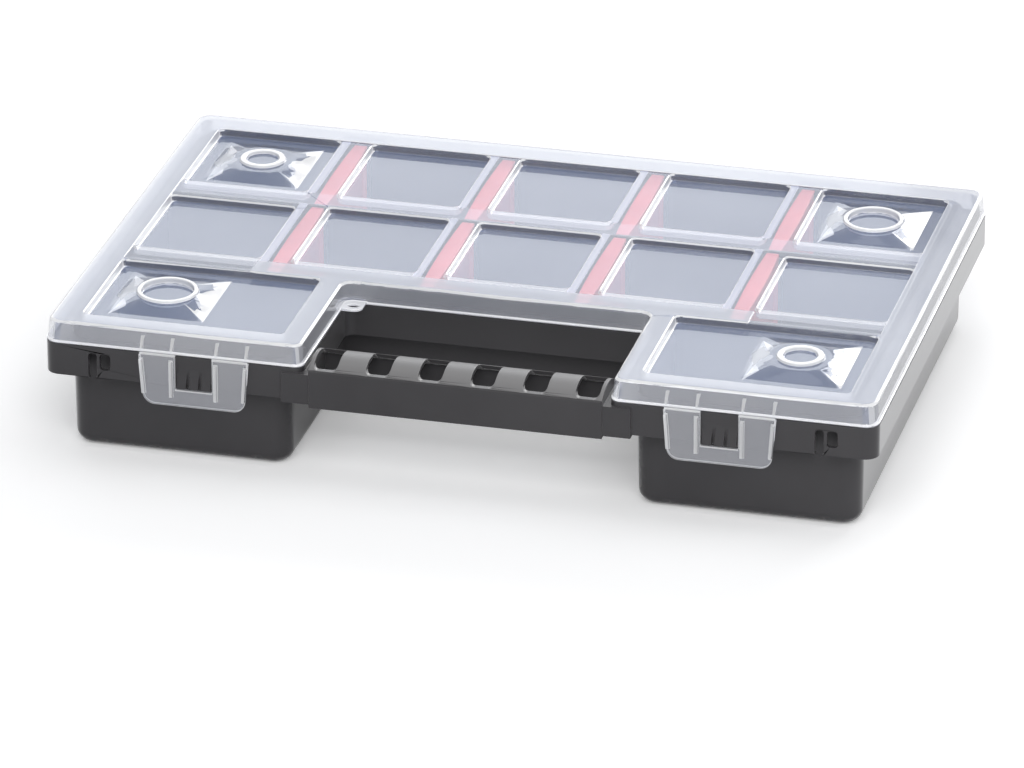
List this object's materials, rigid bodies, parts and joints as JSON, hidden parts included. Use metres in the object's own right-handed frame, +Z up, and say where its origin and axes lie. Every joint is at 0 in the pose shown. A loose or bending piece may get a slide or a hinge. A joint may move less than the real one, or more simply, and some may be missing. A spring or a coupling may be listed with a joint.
{
  "type": "compartment storage box",
  "caption": "Flat box with a moulded carrying handle across a front notch, a clear hinged lid with sunk windows, flip latches and lift-out dividers.",
  "frame": {"origin": "middle of the tray's plan on its underside, on the table", "axes": "+X to the right as seen from the handle side, +Y towards the lid hinge, +Z up"},
  "size_m": [0.344, 0.2335, 0.0581],
  "materials": {
    "black_plastic": "satin, lightly grained",
    "clear_plastic": "milky translucent",
    "red_plastic": "smooth"
  },
  "bodies": {
    "tray": {"tray": "black_plastic", "divider_back_1": "red_plastic", "divider_back_2": "red_plastic", "divider_back_3": "red_plastic", "divider_back_4": "red_plastic", "divider_middle_1": "red_plastic", "divider_middle_2": "red_plastic", "divider_middle_3": "red_plastic", "divider_middle_4": "red_plastic"},
    "lid": {"lid": "clear_plastic"},
    "latch_left": {"latch_left": "clear_plastic"},
    "latch_right": {"latch_right": "clear_plastic"}
  },
  "joints": [
    {"name": "lid_hinge", "type": "hinge", "parent": "tray", "child": "lid", "pos_m": [0, 0.11526, 0.046], "axis": [-1, 0, 0], "range_deg": [0, 110]},
    {"name": "latch_left_hinge", "type": "hinge", "parent": "lid", "child": "latch_left", "pos_m": [-0.1085, -0.11305, 0.0483], "axis": [-1, 0, 0], "range_deg": [0, 110]},
    {"name": "latch_right_hinge", "type": "hinge", "parent": "lid", "child": "latch_right", "pos_m": [0.1085, -0.11305, 0.0483], "axis": [-1, 0, 0], "range_deg": [0, 110]}
  ]
}
